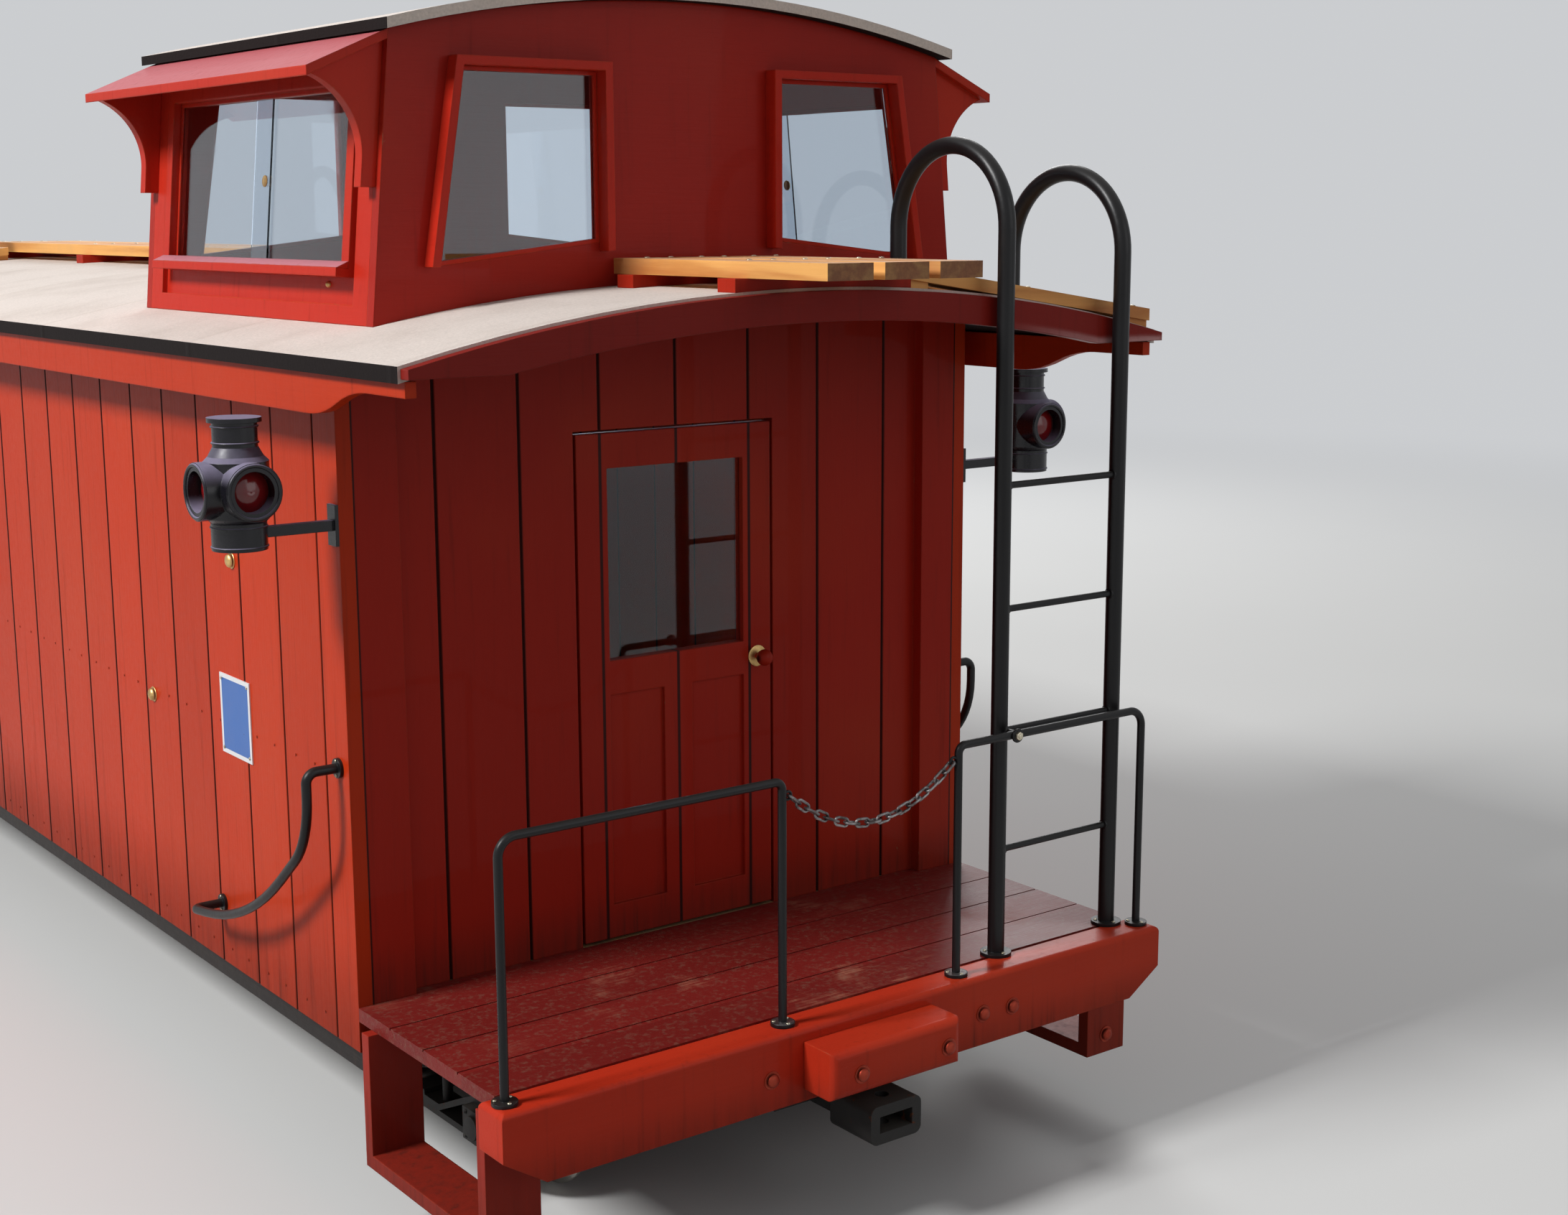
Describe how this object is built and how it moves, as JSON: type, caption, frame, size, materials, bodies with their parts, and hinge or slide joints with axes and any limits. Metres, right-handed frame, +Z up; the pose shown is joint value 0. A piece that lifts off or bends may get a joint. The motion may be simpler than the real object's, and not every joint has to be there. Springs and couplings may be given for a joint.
{
  "type": "park train caboose",
  "caption": "Park-train caboose with a cupola on its roof, end platforms with railings, ladders and chains, swivelling arch-bar trucks and opening end doors.",
  "frame": {"origin": "middle of the car's length and width, at the level of the wheel flanges' lowest points", "axes": "+Y along the car towards its rear end, +X to the right as seen from the front end looking along +Y, +Z up"},
  "size_m": [1.512, 3.47, 1.712],
  "materials": {
    "red_wood": "gloss red-orange paint on boards, weathered",
    "deck_paint": "gloss dark red floor paint, worn",
    "black_wood": "black painted timber",
    "floor_wood": "bare planed boards",
    "walk_wood": "clear finished boards, yellow-orange",
    "canvas": "painted canvas on roof boards, pale warm grey",
    "black_iron": "gloss black paint",
    "cast_iron": "black paint with road dirt",
    "spring_steel": "dull spring steel",
    "wheel_steel": "treads worn bright, rest dull",
    "chain_steel": "zinc plated, dulled",
    "glass": "clear window glass, dark behind",
    "red_lens": "red lamp glass",
    "blue_paint": "blue enamel with a white border"
  },
  "bodies": {
    "car_body": {"end_beam_front": "red_wood", "buffer_block_front": "red_wood", "coupler_front": "cast_iron", "deck_front": "deck_paint", "steps_front": "red_wood", "end_wall_front": "red_wood", "arch_board_front": "red_wood", "railing_front": "black_iron", "ladder_front": "black_iron", "chain_front": "chain_steel", "cupola_wall_front": "red_wood", "roof_walk_front": "walk_wood", "end_beam_rear": "red_wood", "buffer_block_rear": "red_wood", "coupler_rear": "cast_iron", "deck_rear": "deck_paint", "steps_rear": "red_wood", "end_wall_rear": "red_wood", "arch_board_rear": "red_wood", "railing_rear": "black_iron", "ladder_rear": "black_iron", "chain_rear": "chain_steel", "cupola_wall_rear": "red_wood", "roof_walk_rear": "walk_wood", "side_wall_left": "red_wood", "fascia_left": "red_wood", "cupola_wall_left": "red_wood", "visor_left": "red_wood", "side_wall_right": "red_wood", "fascia_right": "red_wood", "cupola_wall_right": "red_wood", "visor_right": "red_wood", "door_hinges": "black_iron", "sills": "black_wood", "cross_members": "black_iron", "floor": "floor_wood", "roof": "canvas", "cupola_roof": "canvas", "cupola_windows": "red_wood", "side_windows": "red_wood", "window_glass": "glass", "walk_saddles": "red_wood", "grab_irons": "black_iron", "marker_lamps": "black_iron", "lamp_lenses": "red_lens", "blank_plate": "blue_paint"},
    "truck_front": {"truck_front_frame": "cast_iron", "truck_front_bolster": "cast_iron", "truck_front_springs": "spring_steel"},
    "truck_rear": {"truck_rear_frame": "cast_iron", "truck_rear_bolster": "cast_iron", "truck_rear_springs": "spring_steel"},
    "wheelset_front_outer_body": {"wheelset_front_outer": "wheel_steel"},
    "wheelset_front_inner_body": {"wheelset_front_inner": "wheel_steel"},
    "wheelset_rear_outer_body": {"wheelset_rear_outer": "wheel_steel"},
    "wheelset_rear_inner_body": {"wheelset_rear_inner": "wheel_steel"},
    "door_front_body": {"door_front": "red_wood", "door_glass_front": "glass"},
    "door_rear_body": {"door_rear": "red_wood", "door_glass_rear": "glass"}
  },
  "joints": [
    {"name": "swivel_front", "type": "hinge", "parent": "car_body", "child": "truck_front", "pos_m": [0, -1.065, 0.215], "axis": [0, 0, 1], "range_deg": [-8, 8]},
    {"name": "swivel_rear", "type": "hinge", "parent": "car_body", "child": "truck_rear", "pos_m": [0, 1.065, 0.215], "axis": [0, 0, 1], "range_deg": [-8, 8]},
    {"name": "roll_front_outer", "type": "hinge", "parent": "truck_front", "child": "wheelset_front_outer_body", "pos_m": [0, -1.275, 0.112], "axis": [1, 0, 0], "continuous": true},
    {"name": "roll_front_inner", "type": "hinge", "parent": "truck_front", "child": "wheelset_front_inner_body", "pos_m": [0, -0.855, 0.112], "axis": [1, 0, 0], "continuous": true},
    {"name": "roll_rear_outer", "type": "hinge", "parent": "truck_rear", "child": "wheelset_rear_outer_body", "pos_m": [0, 1.275, 0.112], "axis": [1, 0, 0], "continuous": true},
    {"name": "roll_rear_inner", "type": "hinge", "parent": "truck_rear", "child": "wheelset_rear_inner_body", "pos_m": [0, 0.855, 0.112], "axis": [1, 0, 0], "continuous": true},
    {"name": "door_front_hinge", "type": "hinge", "parent": "car_body", "child": "door_front_body", "pos_m": [-0.18, -1.178, 0.72], "axis": [0, 0, 1], "range_deg": [0, 100]},
    {"name": "door_rear_hinge", "type": "hinge", "parent": "car_body", "child": "door_rear_body", "pos_m": [0.18, 1.178, 0.72], "axis": [0, 0, 1], "range_deg": [0, 100]}
  ]
}
